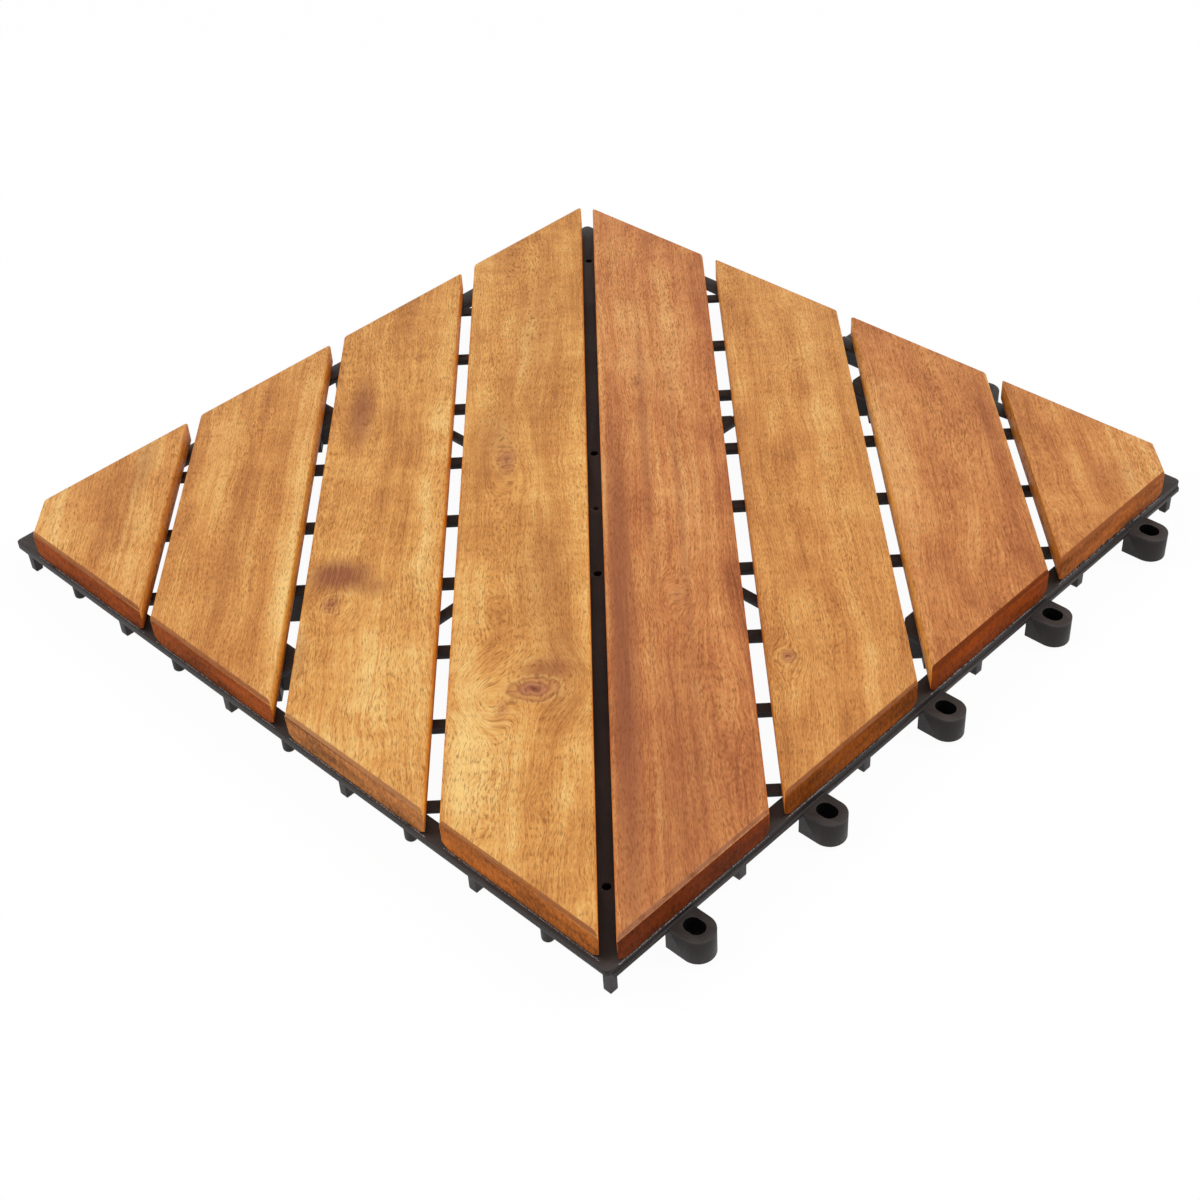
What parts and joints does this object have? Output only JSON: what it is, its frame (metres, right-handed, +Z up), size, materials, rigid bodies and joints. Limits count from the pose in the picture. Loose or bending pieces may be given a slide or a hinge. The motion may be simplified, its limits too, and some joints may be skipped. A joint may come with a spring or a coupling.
{
  "type": "interlocking deck tile",
  "caption": "square outdoor floor tile of diagonal hardwood slats screwed to a moulded plastic grid that hooks to its neighbours with loops and pins",
  "frame": {"origin": "on the ground under the centre of the square tile, at the foot of the grid's hub", "axes": "+Z up; X and Y along the tile's sides, with the loops on the -Y and +X sides and the pins on the -X and +Y sides; the slats run along the diagonal from (-X, -Y) to (+X, +Y)"},
  "size_m": [0.3116, 0.3118, 0.024],
  "materials": {
    "grid": "moulded black polypropylene, satin",
    "slats": "oiled acacia, planed, pores open",
    "screws": "zinc-plated steel"
  },
  "bodies": {
    "root": {"base_grid": "grid", "slat_1": "slats", "slat_2": "slats", "slat_3": "slats", "slat_4": "slats", "slat_5": "slats", "slat_6": "slats", "slat_7": "slats", "slat_8": "slats", "slat_screws": "screws"}
  },
  "joints": []
}
